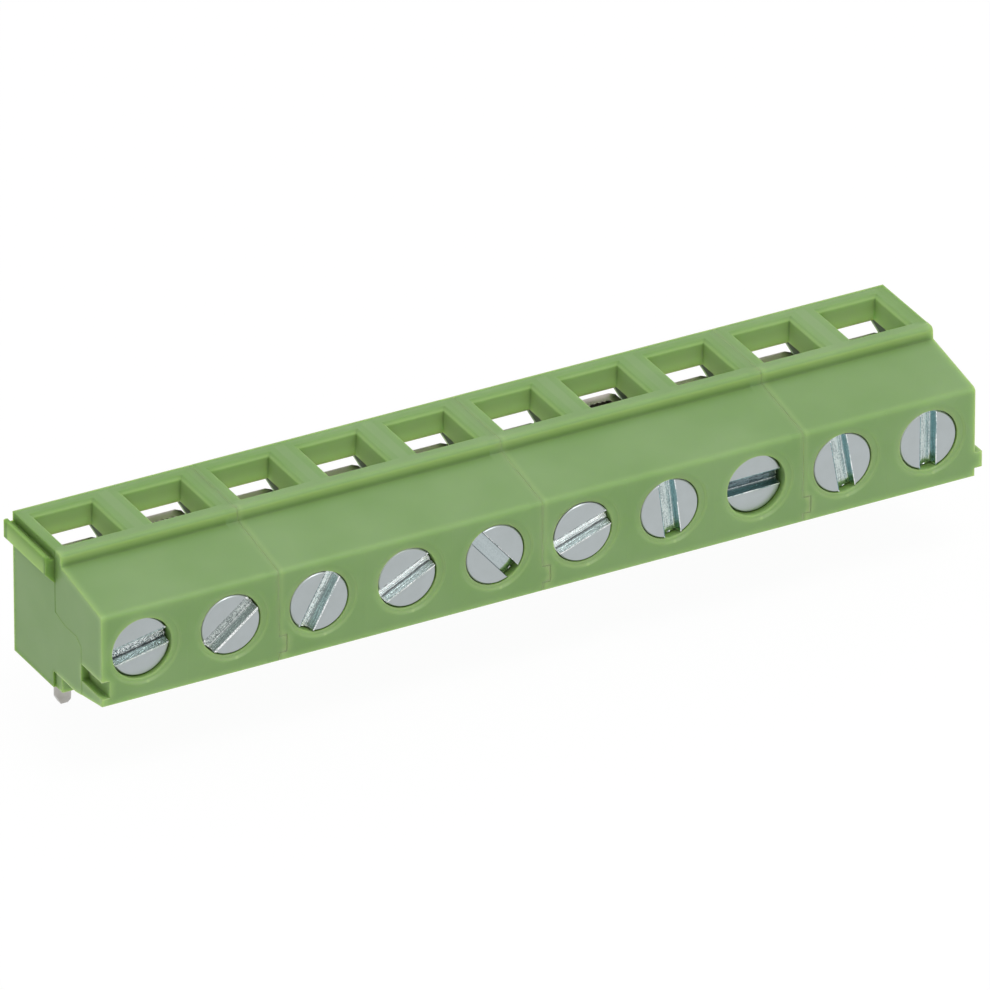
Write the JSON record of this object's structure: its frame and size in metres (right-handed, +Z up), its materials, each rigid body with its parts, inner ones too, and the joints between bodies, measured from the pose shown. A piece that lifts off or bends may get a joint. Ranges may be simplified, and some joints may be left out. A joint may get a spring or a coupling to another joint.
{
  "type": "pcb screw terminal",
  "caption": "Row of interlocked green printed-circuit screw terminals: wire funnels on top, slotted clamp screws in front, solder pins below.",
  "frame": {"origin": "on the axis of solder pin 1 in the plane of the board", "axes": "+X along the row of poles from pole 1 to pole 10, +Y to the back, away from the screws, +Z up out of the board"},
  "size_m": [0.0518, 0.0097, 0.0114],
  "materials": {
    "housing_green": "satin moulded polyamide",
    "screw_zinc": "bright zinc plate",
    "cage_steel": "nickel plate",
    "bar_tin": "tin plate on copper alloy",
    "pin_tin": "tin plate on copper alloy"
  },
  "bodies": {
    "block": {"housing_1": "housing_green", "housing_2": "housing_green", "housing_3": "housing_green", "housing_4": "housing_green", "bar_1": "bar_tin", "bar_2": "bar_tin", "bar_3": "bar_tin", "bar_4": "bar_tin", "bar_5": "bar_tin", "bar_6": "bar_tin", "bar_7": "bar_tin", "bar_8": "bar_tin", "bar_9": "bar_tin", "bar_10": "bar_tin", "pin_1": "pin_tin", "pin_2": "pin_tin", "pin_3": "pin_tin", "pin_4": "pin_tin", "pin_5": "pin_tin", "pin_6": "pin_tin", "pin_7": "pin_tin", "pin_8": "pin_tin", "pin_9": "pin_tin", "pin_10": "pin_tin"},
    "screw_1": {"screw_1": "screw_zinc"},
    "cage_1": {"cage_1": "cage_steel"},
    "screw_2": {"screw_2": "screw_zinc"},
    "cage_2": {"cage_2": "cage_steel"},
    "screw_3": {"screw_3": "screw_zinc"},
    "cage_3": {"cage_3": "cage_steel"},
    "screw_4": {"screw_4": "screw_zinc"},
    "cage_4": {"cage_4": "cage_steel"},
    "screw_5": {"screw_5": "screw_zinc"},
    "cage_5": {"cage_5": "cage_steel"},
    "screw_6": {"screw_6": "screw_zinc"},
    "cage_6": {"cage_6": "cage_steel"},
    "screw_7": {"screw_7": "screw_zinc"},
    "cage_7": {"cage_7": "cage_steel"},
    "screw_8": {"screw_8": "screw_zinc"},
    "cage_8": {"cage_8": "cage_steel"},
    "screw_9": {"screw_9": "screw_zinc"},
    "cage_9": {"cage_9": "cage_steel"},
    "screw_10": {"screw_10": "screw_zinc"},
    "cage_10": {"cage_10": "cage_steel"}
  },
  "joints": [
    {"name": "cage_1_slide", "type": "slide", "parent": "block", "child": "cage_1", "axis": [0, -1, 0], "range_m": [-0.00086, 0.00184]},
    {"name": "screw_1_turn", "type": "hinge", "parent": "block", "child": "screw_1", "pos_m": [0, -0.00903, 0.00426], "axis": [0, 1, 0], "range_deg": [-688, 1472]},
    {"name": "cage_2_slide", "type": "slide", "parent": "block", "child": "cage_2", "axis": [0, -1, 0], "range_m": [-0.00033, 0.00237]},
    {"name": "screw_2_turn", "type": "hinge", "parent": "block", "child": "screw_2", "pos_m": [0.00508, -0.00903, 0.00426], "axis": [0, 1, 0], "range_deg": [-264, 1896]},
    {"name": "cage_3_slide", "type": "slide", "parent": "block", "child": "cage_3", "axis": [0, -1, 0], "range_m": [-0.00057, 0.00213]},
    {"name": "screw_3_turn", "type": "hinge", "parent": "block", "child": "screw_3", "pos_m": [0.01016, -0.00903, 0.00426], "axis": [0, 1, 0], "range_deg": [-456, 1704]},
    {"name": "cage_4_slide", "type": "slide", "parent": "block", "child": "cage_4", "axis": [0, -1, 0], "range_m": [-0.00048, 0.00222]},
    {"name": "screw_4_turn", "type": "hinge", "parent": "block", "child": "screw_4", "pos_m": [0.01524, -0.00903, 0.00426], "axis": [0, 1, 0], "range_deg": [-384, 1776]},
    {"name": "cage_5_slide", "type": "slide", "parent": "block", "child": "cage_5", "axis": [0, -1, 0], "range_m": [-0.00062, 0.00208]},
    {"name": "screw_5_turn", "type": "hinge", "parent": "block", "child": "screw_5", "pos_m": [0.02032, -0.00903, 0.00426], "axis": [0, 1, 0], "range_deg": [-496, 1664]},
    {"name": "cage_6_slide", "type": "slide", "parent": "block", "child": "cage_6", "axis": [0, -1, 0], "range_m": [-0.00095, 0.00175]},
    {"name": "screw_6_turn", "type": "hinge", "parent": "block", "child": "screw_6", "pos_m": [0.0254, -0.00903, 0.00426], "axis": [0, 1, 0], "range_deg": [-760, 1400]},
    {"name": "cage_7_slide", "type": "slide", "parent": "block", "child": "cage_7", "axis": [0, -1, 0], "range_m": [-0.00007, 0.00263]},
    {"name": "screw_7_turn", "type": "hinge", "parent": "block", "child": "screw_7", "pos_m": [0.03048, -0.00903, 0.00426], "axis": [0, 1, 0], "range_deg": [-56, 2104]},
    {"name": "cage_8_slide", "type": "slide", "parent": "block", "child": "cage_8", "axis": [0, -1, 0], "range_m": [-0.00069, 0.00201]},
    {"name": "screw_8_turn", "type": "hinge", "parent": "block", "child": "screw_8", "pos_m": [0.03556, -0.00903, 0.00426], "axis": [0, 1, 0], "range_deg": [-552, 1608]},
    {"name": "cage_9_slide", "type": "slide", "parent": "block", "child": "cage_9", "axis": [0, -1, 0], "range_m": [-0.00046, 0.00224]},
    {"name": "screw_9_turn", "type": "hinge", "parent": "block", "child": "screw_9", "pos_m": [0.04064, -0.00903, 0.00426], "axis": [0, 1, 0], "range_deg": [-368, 1792]},
    {"name": "cage_10_slide", "type": "slide", "parent": "block", "child": "cage_10", "axis": [0, -1, 0], "range_m": [-0.0009, 0.0018]},
    {"name": "screw_10_turn", "type": "hinge", "parent": "block", "child": "screw_10", "pos_m": [0.04572, -0.00903, 0.00426], "axis": [0, 1, 0], "range_deg": [-720, 1440]}
  ],
  "couplings": [
    {"joint": "screw_1_turn", "follows": "cage_1_slide", "rad_per_m": 13963},
    {"joint": "screw_2_turn", "follows": "cage_2_slide", "rad_per_m": 13963},
    {"joint": "screw_3_turn", "follows": "cage_3_slide", "rad_per_m": 13963},
    {"joint": "screw_4_turn", "follows": "cage_4_slide", "rad_per_m": 13963},
    {"joint": "screw_5_turn", "follows": "cage_5_slide", "rad_per_m": 13963},
    {"joint": "screw_6_turn", "follows": "cage_6_slide", "rad_per_m": 13963},
    {"joint": "screw_7_turn", "follows": "cage_7_slide", "rad_per_m": 13963},
    {"joint": "screw_8_turn", "follows": "cage_8_slide", "rad_per_m": 13963},
    {"joint": "screw_9_turn", "follows": "cage_9_slide", "rad_per_m": 13963},
    {"joint": "screw_10_turn", "follows": "cage_10_slide", "rad_per_m": 13963}
  ]
}
